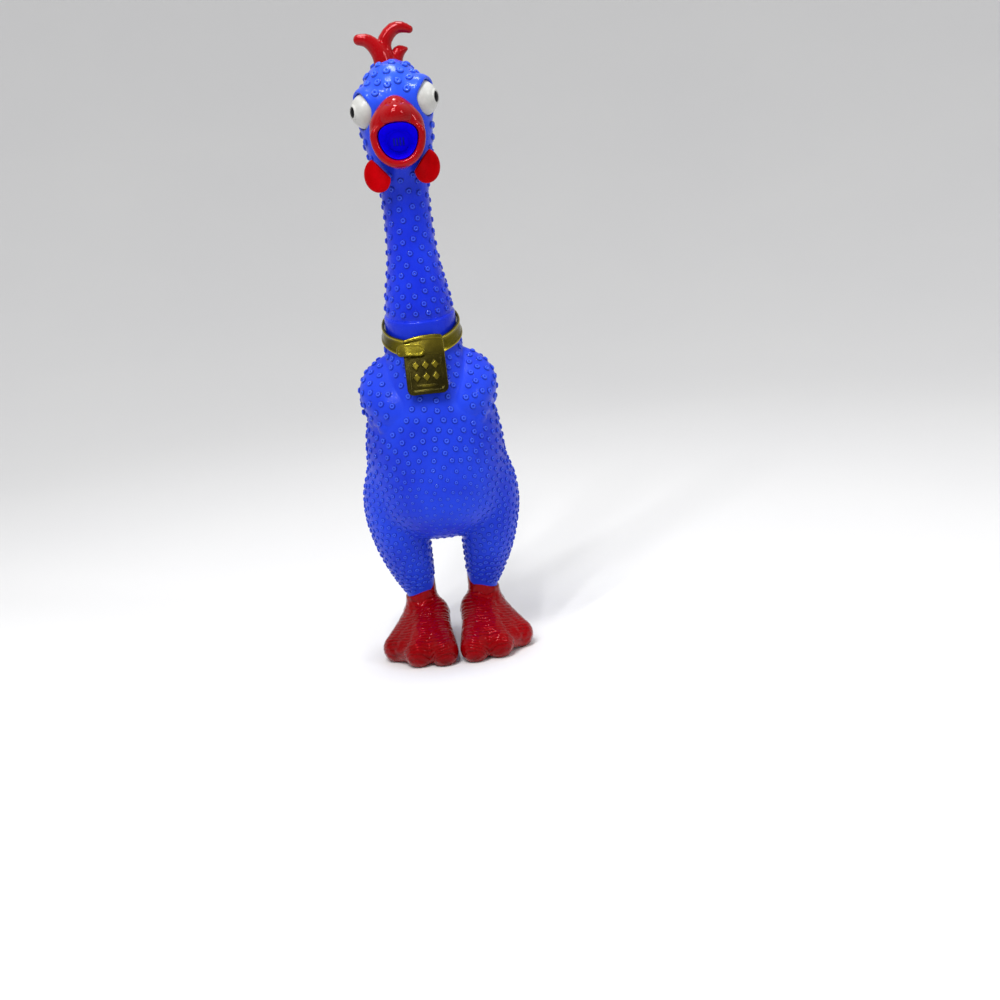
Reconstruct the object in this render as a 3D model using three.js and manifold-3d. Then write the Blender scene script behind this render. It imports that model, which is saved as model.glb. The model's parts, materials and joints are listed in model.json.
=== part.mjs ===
// A giant squeaking rubber chicken: hollow vinyl mouldings for body, neck, head and feet,
// a gold collar with a plate, and a reed squeaker behind the open beak.
// Millimetres, +Z up, the chicken faces -Y. Its own left side is +X.
import * as THREE from "three";
import { ConvexGeometry } from "three/addons/geometries/ConvexGeometry.js";
import { mergeVertices } from "three/addons/utils/BufferGeometryUtils.js";
import Module from "manifold-3d";

const wasm = await Module();
wasm.setup();

// ---- driving dimensions ----
const WALL = 3; // vinyl skin
const GAP = 0.4; // between two pieces that sit against each other
const SHIFT_BACK = 7; // moves the whole chicken so that the origin is under the middle of its box

const LIP_Z = 455; // top of the body's neck socket, and the height the neck sways about
const SOCKET_R = 46.5; // outside of the socket at its lip
const NECK_BALL_R = 43; // the neck's round end inside the socket
const THROAT_Z = 612; // top of the neck, and the height the head nods about
const THROAT_R = 29.4; // outside of the neck there
const HEAD_BALL_R = 26; // the head's round end inside the neck
const BALL_REACH = 18; // how far a round end runs each way from its pivot

const EYE = { x: 33.5, y: -20, z: 725.3, r: 22, wall: 2.5 };
const ASKEW = { eye: 4.3, wattle: 2.7 }; // the left one of each pair sits this much above the middle
const GAZE = THREE.MathUtils.degToRad(66); // how far each eye looks out from straight ahead
const PUPIL_R = 6.8;

const MOUTH = { z: 683.5, halfWidth: 25.3, halfHeight: 23.5, front: -84, back: -20 };
const LINING_WALL = 2.5;
const SQUEAKER = { y: -20, z: 680, r: 12, wall: 2, length: 36 };

const COLLAR = { z: 442, halfWidth: 49.4, halfDepth: 54.2, forward: 2.2, height: 17, thick: 2.6 };
const COLLAR_SLOPE = 0.375; // rise per millimetre towards the back
const PLATE = { width: 53, height: 78, thick: 3.2, top: 438, topY: -60.5, tilt: 0.4, corner: 8 };

const BELLY = { z: 262, halfWidth: 50, halfHeight: 70 }; // the front wall that is squeezed
const ANKLE = { x: 43.5, y: 0, z: 80, r: 20.5 };
const ANKLE_BALL_R = 16.6;
const SOLE_THICK = 4;

// ---- outlines: x, y and z of the middle, w half-width, d half-depth, bottom to top ----
const TORSO = [
  { z: 158, y: -6, w: 18, d: 15 },
  { z: 163, y: -8, w: 44, d: 37 },
  { z: 175, y: -10, w: 66, d: 60 },
  { z: 198, y: -12, w: 84, d: 77 },
  { z: 230, y: -13, w: 91, d: 85 },
  { z: 265, y: -13, w: 92, d: 87 },
  { z: 295, y: -13, w: 88, d: 85 },
  { z: 325, y: -12, w: 82, d: 80 },
  { z: 350, y: -11, w: 74, d: 74 },
  { z: 380, y: -8, w: 63, d: 66 },
  { z: 403, y: -4, w: 54.5, d: 57 },
  { z: 420, y: -1.5, w: 49.5, d: 50.5 },
  { z: 436, y: 0, w: 47, d: 47 },
  { z: LIP_Z, y: 0, w: SOCKET_R, d: SOCKET_R },
];
const THIGH = [
  { z: ANKLE.z, x: ANKLE.x, y: 0, w: ANKLE.r, d: ANKLE.r },
  { z: 95, x: 47.5, y: -1, w: 24.8, d: 25.5 },
  { z: 112, x: 51.5, y: -2, w: 29, d: 31 },
  { z: 140, x: 57, y: -4, w: 35, d: 39.5 },
  { z: 165, x: 60, y: -6, w: 38.8, d: 45.5 },
  { z: 189, x: 62, y: -7, w: 41.4, d: 49 },
  { z: 216, x: 62, y: -8, w: 42.2, d: 51 },
  { z: 242, x: 59, y: -9, w: 41, d: 49 },
  { z: 275, x: 53, y: -10, w: 32, d: 40 },
  { z: 300, x: 48, y: -10, w: 18, d: 24 },
];
const WING = [
  { z: 307, x: 63, y: -15, w: 12, d: 20 },
  { z: 319, x: 66, y: -18, w: 21, d: 33 },
  { z: 336, x: 65, y: -19, w: 24, d: 39 },
  { z: 357, x: 65, y: -20, w: 26, d: 42 },
  { z: 376, x: 62, y: -18, w: 24.5, d: 37 },
  { z: 392, x: 57, y: -14, w: 20, d: 29 },
  { z: 403, x: 51, y: -10, w: 13, d: 20 },
  { z: 409, x: 48, y: -8, w: 5, d: 9 },
];
const TAIL = [
  { z: 178, y: 52, w: 9, d: 10 },
  { z: 192, y: 58, w: 20, d: 22 },
  { z: 212, y: 64, w: 21, d: 24 },
  { z: 232, y: 72, w: 15, d: 17 },
  { z: 246, y: 80, w: 6, d: 7 },
];
const NECK = [
  { z: LIP_Z + BALL_REACH - 1, w: 41.6, d: 41.6 },
  { z: 497, w: 38.7, d: 38.7 },
  { z: 523, w: 34.4, d: 34.4 },
  { z: 550, w: 30.8, d: 30.8 },
  { z: 580, w: 29.8, d: 29.8 },
  { z: THROAT_Z, w: THROAT_R, d: THROAT_R },
];
const HEAD = [
  { z: THROAT_Z + 7, y: 0, w: 22, d: 22 },
  { z: THROAT_Z + 16, y: -0.5, w: 28.8, d: 28.8 },
  { z: 640, y: -3, w: 33, d: 34 },
  { z: 662, y: -4, w: 40, d: 40 },
  { z: 685, y: -4, w: 44.5, d: 44 },
  { z: 710, y: -3, w: 45.5, d: 46 },
  { z: 735, y: -2, w: 43.5, d: 45 },
  { z: 753, y: 0, w: 37.5, d: 40 },
  { z: 765, y: 2, w: 29, d: 31 },
  { z: 774, y: 3, w: 17, d: 19 },
  { z: 778, y: 3, w: 7, d: 8 },
];
// The beak and the mouth run forward: here z is how far forward, and y is the height.
const BEAK = [
  { z: 24, y: 693.5, w: 36, d: 46.5 },
  { z: 50, y: 693.5, w: 36, d: 46.5 },
  { z: 60, y: 694, w: 33.5, d: 42 },
  { z: 70, y: 698, w: 28, d: 34 },
  { z: 77, y: 704, w: 18, d: 22 },
  { z: 79, y: 708, w: 8, d: 10 },
];

// ---- solids ----
// A geometry as a manifold-3d solid: shared vertices merged, collapsed triangles dropped, faces out.
function solid(geometry) {
  const bare = geometry.index ? geometry.clone() : geometry;
  bare.deleteAttribute("normal");
  bare.deleteAttribute("uv");
  const merged = mergeVertices(bare, 1e-3);
  const index = merged.index.array;
  const kept = [];
  for (let i = 0; i < index.length; i += 3) {
    const [a, b, c] = [index[i], index[i + 1], index[i + 2]];
    if (a !== b && b !== c && a !== c) kept.push(a, b, c);
  }
  const make = (triangles) => new wasm.Manifold(new wasm.Mesh({
    numProp: 3,
    vertProperties: new Float32Array(merged.attributes.position.array),
    triVerts: new Uint32Array(triangles),
  }));
  const made = make(kept);
  return made.volume() > 0 ? made : make(kept.reverse());
}

function joined(...solids) {
  return solids.reduce((sum, next) => sum.add(next));
}

function geometryOf(manifold) {
  const mesh = manifold.getMesh();
  const geometry = new THREE.BufferGeometry();
  geometry.setAttribute("position", new THREE.BufferAttribute(new Float32Array(mesh.vertProperties), 3));
  geometry.setIndex(new THREE.BufferAttribute(new Uint32Array(mesh.triVerts), 1));
  geometry.computeVertexNormals();
  return geometry;
}

// A closed soft form that runs through its stations: an ellipse that changes size, with flat ends.
function lobe(stations, around = 24, steps = 2) {
  const middle = new THREE.CatmullRomCurve3(stations.map((s) => new THREE.Vector3(s.x ?? 0, s.y ?? 0, s.z)));
  const half = new THREE.CatmullRomCurve3(stations.map((s) => new THREE.Vector3(s.w, s.d, 0)));
  const rows = (stations.length - 1) * steps;
  const profile = [new THREE.Vector2(0, 0)];
  for (let i = 0; i <= rows; i++) profile.push(new THREE.Vector2(1, i / rows));
  profile.push(new THREE.Vector2(0, 1));
  const geometry = new THREE.LatheGeometry(profile, around);
  const place = geometry.attributes.position;
  for (let i = 0; i < place.count; i++) {
    const at = middle.getPoint(place.getY(i));
    const size = half.getPoint(place.getY(i));
    place.setXYZ(i, at.x + place.getX(i) * size.x, at.y + place.getZ(i) * size.y, at.z);
  }
  return geometry;
}

// The same outline moved inwards by the wall; its end stations also move along by the given reaches.
function inside(stations, wall, first = 0, last = 0) {
  const end = stations.length - 1;
  return stations.map((s, i) => ({
    ...s,
    w: Math.max(s.w - wall, 1),
    d: Math.max(s.d - wall, 1),
    z: s.z + (i === 0 ? first : 0) + (i === end ? last : 0),
  }));
}

function grown(stations, by) {
  return stations.map((s) => ({ ...s, w: s.w + by, d: s.d + by }));
}

function mirrored(stations) {
  return stations.map((s) => ({ ...s, x: -s.x }));
}

// A solid of revolution about Z from [radius, height] pairs.
function turned(outline, around = 24) {
  const points = outline.map(([r, h]) => new THREE.Vector2(r, h));
  return new THREE.LatheGeometry(points, around).rotateX(Math.PI / 2);
}

// The tight skin over a few balls, each given as [x, y, z, radius].
function wrapped(...balls) {
  const points = balls.flatMap(([x, y, z, r]) => {
    const place = new THREE.SphereGeometry(r, 10, 7).translate(x, y, z).attributes.position;
    return Array.from({ length: place.count }, (_, i) => new THREE.Vector3().fromBufferAttribute(place, i));
  });
  return solid(new ConvexGeometry(points));
}

// A bar of round section along a curve, whose radius goes from one end's to the other's.
function finger(points, startR, endR, pieces = 5) {
  const curve = new THREE.CatmullRomCurve3(points.map((p) => new THREE.Vector3(...p)));
  const balls = Array.from({ length: pieces + 1 }, (_, i) => {
    const t = i / pieces;
    return [...curve.getPoint(t).toArray(), THREE.MathUtils.lerp(startR, endR, t)];
  });
  return joined(...balls.slice(1).map((ball, i) => wrapped(balls[i], ball)));
}

// The hollow round end of a piece that turns inside the piece below it.
function ballEnd(pivotZ, radius) {
  const outline = (r, low, high) => {
    const points = [[0, low]];
    for (let i = 0; i <= 6; i++) {
      const h = THREE.MathUtils.lerp(low, high, i / 6);
      points.push([Math.sqrt(r * r - h * h), h]);
    }
    return [...points, [0, high]];
  };
  const outer = turned(outline(radius, -BALL_REACH, BALL_REACH)).translate(0, 0, pivotZ);
  const bore = turned(outline(radius - WALL, -BALL_REACH - 1, BALL_REACH + 1)).translate(0, 0, pivotZ);
  return { outer: solid(outer), bore: solid(bore) };
}

// ---- body ----
function bodyForm(wall, neckReach, ankleReach, around) {
  const torso = solid(lobe(inside(TORSO, wall, wall, neckReach), around * 2, 1));
  const thigh = inside(THIGH, wall, ankleReach, -wall);
  const wing = inside(WING, wall, wall, -wall);
  const tail = solid(lobe(inside(TAIL, wall, wall, -wall), 10, 1));
  const pairs = [thigh, mirrored(thigh)].map((s) => solid(lobe(s, around, 1)));
  const wings = [wing, mirrored(wing)].map((s) => solid(lobe(s, around, 1)));
  return joined(torso, ...pairs, ...wings, tail);
}

function bellyColumn(halfWidth, halfHeight) {
  const column = new THREE.CylinderGeometry(1, 1, 80, 24).scale(halfWidth, 1, halfHeight);
  return solid(column.translate(0, -85, BELLY.z));
}

const hollowBody = bodyForm(0, 0, 0, 14).subtract(bodyForm(WALL, 5, -5, 12));
const body = hollowBody.subtract(bellyColumn(BELLY.halfWidth + 1, BELLY.halfHeight + 1));
const belly = hollowBody.intersect(bellyColumn(BELLY.halfWidth, BELLY.halfHeight));

// ---- neck ----
const neckEnd = ballEnd(LIP_Z, NECK_BALL_R);
const neckTube = solid(lobe(NECK, 24, 1));
const neckTubeBore = solid(lobe(inside(NECK, WALL, -4, 5), 24, 1));
const neck = joined(neckEnd.outer, neckTube).subtract(joined(neckEnd.bore, neckTubeBore));

// ---- head ----
// Moves a geometry made about the origin to the eye on one side.
function atEye(geometry, side) {
  return geometry.translate(side * EYE.x, EYE.y, EYE.z + side * ASKEW.eye);
}

function eyeball(side, radius) {
  return solid(atEye(new THREE.SphereGeometry(radius, 16, 10), side));
}

// A cylinder that leaves an eye along its gaze, from one distance to another.
function gazeColumn(side, radius, from, to) {
  const column = new THREE.CylinderGeometry(radius, radius, to - from, 20);
  column.translate(0, (from + to) / 2, 0).rotateZ(Math.PI).rotateZ(side * GAZE);
  return solid(atEye(column, side));
}

// A lining form runs forward from the back of the mouth to just inside the beak's rim.
function mouthForm(inset, back, front) {
  const size = (share) => ({ w: MOUTH.halfWidth * share - inset, d: MOUTH.halfHeight * share - inset });
  return solid(lobe([
    { z: -back, y: SQUEAKER.z, ...size(0.66) },
    { z: -back + 22, y: MOUTH.z - 1, ...size(0.9) },
    { z: -back + 40, y: MOUTH.z, ...size(1) },
    { z: -front, y: MOUTH.z, ...size(1) },
  ], 20, 1).rotateX(Math.PI / 2));
}

const headEnd = ballEnd(THROAT_Z, HEAD_BALL_R);
const skull = solid(lobe(HEAD, 24, 1));
const skullRoom = solid(lobe(inside(HEAD, WALL, WALL, -WALL), 16, 1));
const browRings = [1, -1].map((side) => {
  const ring = turned([[15, -6], [23.5, -6], [25, -2], [24.5, 1.5], [21, 2.5], [15, 2], [15, -6]], 18);
  ring.rotateX(Math.PI / 2).rotateZ(side * GAZE);
  return solid(atEye(ring, side));
});
const sockets = [1, -1].map((side) => eyeball(side, EYE.r + GAP));
const headForm = joined(skull, headEnd.outer, ...browRings);
const head = headForm
  .subtract(joined(skullRoom, headEnd.bore))
  .subtract(joined(...sockets))
  .subtract(mouthForm(-GAP, MOUTH.back + GAP, MOUTH.front));

function eye(side) {
  const front = gazeColumn(side, EYE.r + 2, 2, EYE.r + 2);
  return eyeball(side, EYE.r).subtract(eyeball(side, EYE.r - EYE.wall)).intersect(front);
}

function pupil(side) {
  const skin = eyeball(side, EYE.r + 1.5).subtract(eyeball(side, EYE.r + GAP));
  return skin.intersect(gazeColumn(side, PUPIL_R, 10, EYE.r + 4));
}

// ---- beak, mouth, comb and wattles ----
const skullFull = solid(lobe(grown(HEAD, GAP), 24, 1));
const beak = solid(lobe(BEAK, 24, 1).rotateX(Math.PI / 2))
  .subtract(joined(skullFull, ...browRings, ...sockets))
  .subtract(mouthForm(-GAP, MOUTH.back, MOUTH.front - 4));

const RIM_Y = -66; // where the lining ends, inside the beak
const lining = mouthForm(0, MOUTH.back, RIM_Y)
  .subtract(mouthForm(LINING_WALL, MOUTH.back - LINING_WALL, RIM_Y - 2))
  .subtract(solid(new THREE.CylinderGeometry(SQUEAKER.r + GAP, SQUEAKER.r + GAP, 20, 24)
    .translate(0, SQUEAKER.y, SQUEAKER.z)));

const COMB_FINGERS = [
  { points: [[-7, 0, 774], [-9.5, 0, 788], [-16, 0, 799], [-25, -1, 807], [-34.5, -2, 809]], from: 10, to: 6.2 },
  { points: [[1, 3, 774], [-4, 4, 792], [-2, 5, 807], [9, 5, 818], [29, 4, 816.5]], from: 9.5, to: 4.8 },
  { points: [[7, 7, 774], [9, 9, 787], [21, 10, 793.5]], from: 8, to: 3.5 },
];
const comb = joined(...COMB_FINGERS.map((f) => finger(f.points, f.from, f.to))).subtract(skullFull);

// A wattle hangs in a plane that leans back at its outer side; its hinge runs along its upper inner edge.
const WATTLE = { x: 33, y: -40, z: 644.5, halfWidth: 15.5, halfHeight: 21, thick: 5, lean: 0.35 };
function wattle(side) {
  const leaf = new THREE.SphereGeometry(1, 16, 10);
  leaf.scale(WATTLE.halfWidth, WATTLE.thick / 2, WATTLE.halfHeight);
  leaf.rotateZ(side * WATTLE.lean);
  leaf.translate(side * WATTLE.x, WATTLE.y, WATTLE.z + side * ASKEW.wattle);
  const beakRoom = solid(lobe(grown(BEAK, 3), 16, 1).rotateX(Math.PI / 2));
  const neckRoom = solid(lobe(grown(HEAD, 1.2), 20, 1));
  return solid(leaf).subtract(joined(neckRoom, beakRoom));
}

// ---- squeaker ----
// Its pieces are built along +Z from the mouth's back wall; their group lays them down to run back.
const S = SQUEAKER;
const FLANGE = { r: 15, thick: 2 };
const BED = { halfWidth: 5, top: 1.5, from: 8, to: 32 };
const REED = { halfWidth: 4, thick: 0.5, from: 8.6, to: 30 };
const CLAMP_LENGTH = 2; // short, so that the reed can lift from its end
const housing = solid(turned([
  [S.r - S.wall, LINING_WALL + GAP], [FLANGE.r, LINING_WALL + GAP],
  [FLANGE.r, LINING_WALL + GAP + FLANGE.thick], [S.r, LINING_WALL + GAP + FLANGE.thick],
  [S.r, S.length], [S.r - S.wall, S.length], [S.r - S.wall, LINING_WALL + GAP],
]));

function block(halfWidth, low, high, from, to, x = 0) {
  const box = new THREE.BoxGeometry(halfWidth * 2, high - low, to - from);
  return solid(box.translate(x, (low + high) / 2, (from + to) / 2));
}

const BORE_R = S.r - S.wall - GAP;
const bore = solid(new THREE.CylinderGeometry(BORE_R, BORE_R, S.length - 6, 24)
  .rotateX(Math.PI / 2).translate(0, 0, 4 + S.length / 2));
const reedBed = block(BORE_R, -BORE_R, -BED.top, BED.from, BED.to)
  .intersect(bore)
  .subtract(block(BED.halfWidth - 2, -6, 1, BED.from + 6, BED.to + 1));
const reed = block(REED.halfWidth, -BED.top + GAP, -BED.top + GAP + REED.thick, REED.from, REED.to);
const WEDGE_LOW = -BED.top + 2 * GAP + REED.thick;
const wedge = block(BORE_R, WEDGE_LOW, BORE_R, BED.from, BED.from + CLAMP_LENGTH).intersect(bore)
  .subtract(block(REED.halfWidth, 3, BORE_R, BED.from - 1, BED.from + CLAMP_LENGTH + 1));
const grilleSlots = [-6, -2, 2, 6].map((x) => block(1, -5, 5, -3, 6, x));
const grille = solid(new THREE.CylinderGeometry(S.r, S.r, 2, 24).rotateX(Math.PI / 2).translate(0, 0, -1.5))
  .subtract(joined(...grilleSlots));

// ---- collar ----
function collarRing(inner, outer, height) {
  const h = height / 2;
  const ring = turned([[inner, -h], [outer, -h + 2], [outer, h - 2], [inner, h], [inner, -h]], 40);
  const place = ring.attributes.position;
  for (let i = 0; i < place.count; i++) {
    const [x, y, z] = [place.getX(i), place.getY(i), place.getZ(i)];
    const deep = y * COLLAR.halfDepth / COLLAR.halfWidth - COLLAR.forward;
    place.setXYZ(i, x, deep, z + y * COLLAR_SLOPE + COLLAR.z);
  }
  return solid(ring);
}

function roundedSlab(width, height, thick, corner) {
  const shape = new THREE.Shape();
  const [w, h] = [width / 2, height / 2];
  shape.moveTo(-w + corner, -h);
  shape.lineTo(w - corner, -h);
  shape.absarc(w - corner, -h + corner, corner, -Math.PI / 2, 0);
  shape.absarc(w - corner, h - corner, corner, 0, Math.PI / 2);
  shape.absarc(-w + corner, h - corner, corner, Math.PI / 2, Math.PI);
  shape.absarc(-w + corner, -h + corner, corner, Math.PI, Math.PI * 1.5);
  const slab = new THREE.ExtrudeGeometry(shape, { depth: thick, bevelEnabled: false, curveSegments: 4 });
  return slab.rotateX(Math.PI / 2); // its face looks along -Y
}

// Lays a flat piece on the plate's plane: across from its middle, down from its top, and proud of it.
function onPlate(geometry, across, down, proud) {
  geometry.translate(across, -proud, -down).rotateX(-PLATE.tilt);
  return solid(geometry.translate(0, PLATE.topY, PLATE.top));
}

const band = collarRing(COLLAR.halfWidth, COLLAR.halfWidth + COLLAR.thick, COLLAR.height);
const plateSlab = roundedSlab(PLATE.width, PLATE.height, PLATE.thick, PLATE.corner);
const plate = onPlate(plateSlab, 0, PLATE.height / 2, 0)
  .subtract(collarRing(COLLAR.halfWidth - 8, COLLAR.halfWidth + COLLAR.thick + GAP, COLLAR.height + 2 * GAP));
const strapEnd = onPlate(roundedSlab(34, 16, 2.2, 6), -14, 20, PLATE.thick + 3.2);

// ---- feet ----
// Each toe spreads from the ankle to its tip, given from the ankle's axis; the inner side is -x.
const TOES = [
  { root: [-7, -6, 40], tip: [-24, -85, 14.5], from: 23, to: 18 }, // inner
  { root: [0, -6, 40], tip: [11.5, -76, 14.5], from: 23.5, to: 18 }, // middle
  { root: [6, -2, 38], tip: [40.5, -45, 14.5], from: 23, to: 18 }, // outer
];

// One side's foot as a solid moved inwards by the wall: three toes, the heel, and the leg over them.
function footForm(side, wall) {
  const ball = ([x, y, z], r) => [side * x, y, z, r - wall];
  const toes = TOES.map((t) => wrapped(ball(t.root, t.from), ball(t.tip, t.to)));
  const heel = wrapped(ball([-1, 16, 14.5], 19), ball([-1, 0, 42], 22.5));
  const leg = new THREE.CylinderGeometry(21 - wall, 22.5 - wall, 30 - wall, 20).rotateX(Math.PI / 2);
  return joined(...toes, heel, solid(leg.translate(0, 0, ANKLE.z - 33 - wall / 2)));
}

// The round end on top of the foot that turns inside the leg's opening.
function anklePlug(wall) {
  const r = ANKLE_BALL_R - wall;
  const neck = new THREE.CylinderGeometry(r - 1, r + 1, 30, 16).rotateX(Math.PI / 2);
  const ball = new THREE.SphereGeometry(r, 16, 10).rotateX(Math.PI / 2);
  return joined(solid(ball.translate(0, 0, ANKLE.z)), solid(neck.translate(0, 0, ANKLE.z - 22)));
}

function foot(side) {
  const under = (z) => solid(new THREE.BoxGeometry(300, 300, 100).translate(0, 0, z - 50));
  const above = solid(new THREE.BoxGeometry(80, 80, 40).translate(0, 0, ANKLE.z + 8 + 20));
  const room = joined(footForm(side, WALL), anklePlug(WALL)).subtract(under(SOLE_THICK));
  return joined(footForm(side, 0), anklePlug(0)).subtract(joined(under(0), above)).subtract(room);
}

// ---- assembly ----
const chicken = new THREE.Group();
chicken.name = "rubber_chicken";

function material(color, roughness, metalness = 0) {
  return { color, roughness, metalness };
}
const BLUE = material(0x1f35e0, 0.38);
const DEEP_BLUE = material(0x1928cc, 0.36);
const MOUTH_BLUE = material(0x0c08c4, 0.7);
const RED = material(0xcd0a19, 0.22);
const WATTLE_RED = material(0xb4000c, 0.55);
const FOOT_RED = material(0xa0060f, 0.24);
const EYE_WHITE = material(0xd8d4c8, 0.4);
const BLACK = material(0x0a0a0c, 0.3);
const GOLD = material(0x9a7d16, 0.34, 0.85);
const REED_METAL = material(0xb08a3e, 0.35, 0.9);
const CLEAR_PLASTIC = material(0xe6e4dc, 0.45);

function group(parent, x = 0, y = 0, z = 0) {
  const made = new THREE.Group();
  made.position.set(x, y, z);
  parent.add(made);
  return made;
}

function add(parent, name, manifold, look) {
  const mesh = new THREE.Mesh(geometryOf(manifold), new THREE.MeshStandardMaterial(look));
  mesh.name = name;
  parent.add(mesh);
}

const whole = group(chicken, 0, SHIFT_BACK);
add(whole, "body_shell", body, BLUE);
add(whole, "belly_wall", belly, BLUE);
add(whole, "neck_shell", neck, DEEP_BLUE);
add(whole, "head_shell", head, BLUE);
add(whole, "comb", comb, RED);
add(whole, "beak", beak, RED);
add(whole, "mouth_lining", lining, MOUTH_BLUE);
for (const [name, side] of [["left", 1], ["right", -1]]) {
  add(whole, `wattle_${name}`, wattle(side), WATTLE_RED);
  add(whole, `eye_${name}`, eye(side), EYE_WHITE);
  add(whole, `pupil_${name}`, pupil(side), BLACK);
  add(group(whole, side * ANKLE.x), `foot_${name}`, foot(side), FOOT_RED);
}
add(whole, "collar_band", band, GOLD);
add(whole, "collar_tag", plate, GOLD);
add(whole, "collar_strap_end", strapEnd, GOLD);

const squeaker = group(whole, 0, SQUEAKER.y, SQUEAKER.z);
squeaker.rotation.set(-Math.PI / 2, 0, Math.PI);
add(squeaker, "squeaker_housing", housing, CLEAR_PLASTIC);
add(squeaker, "squeaker_reed_bed", reedBed, CLEAR_PLASTIC);
add(squeaker, "squeaker_reed", reed, REED_METAL);
add(squeaker, "squeaker_reed_clamp", wedge, CLEAR_PLASTIC);
add(squeaker, "squeaker_cap", grille, CLEAR_PLASTIC);

export default chicken;
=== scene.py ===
"""A giant squeaking rubber chicken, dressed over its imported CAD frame.

The vinyl skins are surfaces of distance fields, worked in millimetres about the neck's axis, with the
moulded studs set in as small ringed bumps. The collar, its plate, the eyes and the mouth's lining are
swept or turned. Blender's units are metres, so every mesh is scaled once, where it is made.
"""
import json
import math

import bpy
import numpy as np
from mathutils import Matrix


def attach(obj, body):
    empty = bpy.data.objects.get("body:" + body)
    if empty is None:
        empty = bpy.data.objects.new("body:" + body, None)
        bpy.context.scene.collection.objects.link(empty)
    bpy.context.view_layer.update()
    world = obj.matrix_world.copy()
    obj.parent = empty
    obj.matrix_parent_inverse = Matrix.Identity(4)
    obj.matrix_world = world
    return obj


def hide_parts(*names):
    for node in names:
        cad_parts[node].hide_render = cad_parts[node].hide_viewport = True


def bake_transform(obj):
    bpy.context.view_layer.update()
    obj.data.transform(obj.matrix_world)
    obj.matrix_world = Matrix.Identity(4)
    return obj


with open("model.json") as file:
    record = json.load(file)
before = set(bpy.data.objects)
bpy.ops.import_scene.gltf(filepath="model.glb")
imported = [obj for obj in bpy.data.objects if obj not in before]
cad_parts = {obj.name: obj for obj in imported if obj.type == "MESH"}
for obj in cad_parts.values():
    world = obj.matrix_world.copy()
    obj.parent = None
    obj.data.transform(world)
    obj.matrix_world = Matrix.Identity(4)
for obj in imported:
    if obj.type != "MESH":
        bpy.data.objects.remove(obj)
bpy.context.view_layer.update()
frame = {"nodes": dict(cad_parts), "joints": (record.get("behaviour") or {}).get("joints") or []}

import openvdb as vdb
from mathutils import Matrix, Vector
from mathutils.kdtree import KDTree

METRES = 0.001  # one millimetre

# ---- places taken from the frame's joints ----
JOINTS = {joint["name"]: joint for joint in frame["joints"]}


def pivot(joint):
    return np.array(JOINTS[joint]["pos_m"]) / METRES


SPINE = np.array([0.0, pivot("neck_sway")[1], 0.0])  # the neck's axis; fields measure from it
ANKLE = pivot("ankle_left") - SPINE
COLLAR_Z = pivot("collar_turn")[2]

# ---- driving dimensions, millimetres ----
BODY_CELL = 2.4  # how finely each skin is meshed
HEAD_CELL = 1.7
FOOT_CELL = 1.35
TRIM_CELL = 1.1

COLLAR_SLOPE = 0.375  # the collar rises this much per millimetre towards the back
RIDGE_Z, RIDGE_SLOPE = 460.0, 0.178  # the hem round the foot of the neck
RIDGE_R, RIDGE_BULGE, HEM_R = 44.6, 1.7, 46.9
HEAD_SEAM_Z = 530.0  # the neck's skin ends here and the head's begins
LEG_SEAM_Z = 128.0
BRIM_Z, BRIM_SLOPE, BRIM_TILT = 86.0, 0.5, 0.12  # the feet's paint ends here, higher inside and behind

EYE = np.array([33.5, -20.0, 725.3])
EYE_ASKEW, WATTLE_ASKEW = 4.3, 2.7  # the left one of each pair sits this much above the middle
EYE_R = 22.8
LIDS_EYE_R = 21.6  # the size of eye that the lids are drawn for; they grow with the real one
GAZE = math.radians(66)
PUPIL_ANGLE, RING_ANGLE = math.radians(18.0), math.radians(25)
MOUTH_Z, MOUTH_W, MOUTH_H = 680.3, 24.4, 22.8
MOUTH_EGG, MOUTH_POWER = 0.2, 2.3  # how much broader it is above, and how square
MOUTH_BACK, MOUTH_RIM = -21.0, -66.0
MOUTH_NARROWS, MOUTH_NARROWS_AT = 0.36, -48.0  # the share lost by the back, and where that starts
CAP_Z, CAP_R = 680.0, 12.6  # the squeaker's round cover, where the lining ends

# Studs: what the chest's are, then what each region adds to that.
CHEST_SPACING, CHEST_RADIUS, CHEST_HEIGHT = 14.6, 4.4, 2.3
THIGH_SPACING, THIGH_RADIUS, THIGH_HEIGHT = -5.4, -1.1, -0.8
BELLY_RADIUS, BELLY_HEIGHT = -0.9, -1.0
ANKLE_SPACING, ANKLE_RADIUS, ANKLE_SQUEEZE = -1.6, 1.2, 0.5
# The same for the neck's, and what the crown adds.
NECK_SPACING, NECK_RADIUS, NECK_HEIGHT = 14.4, 4.3, 2.3
CROWN_SPACING, CROWN_RADIUS, CROWN_HEIGHT = 3.1, 1.1, 0.4
CROWDING = 0.86  # sites are first scattered this much closer than they end up

WRINKLE_GAP, WRINKLE_DEPTH, SKIN_RIPPLE = 5.0, 0.9, 0.25  # on the feet

BAND_ACROSS, BAND_DEEP, BAND_BACK = 49.4, 54.2, 2.2  # the collar's half-sizes and how far back it sits
BAND_HALF, BAND_FRONT = 8.8, 1.4  # half its height, and what the front adds

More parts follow.
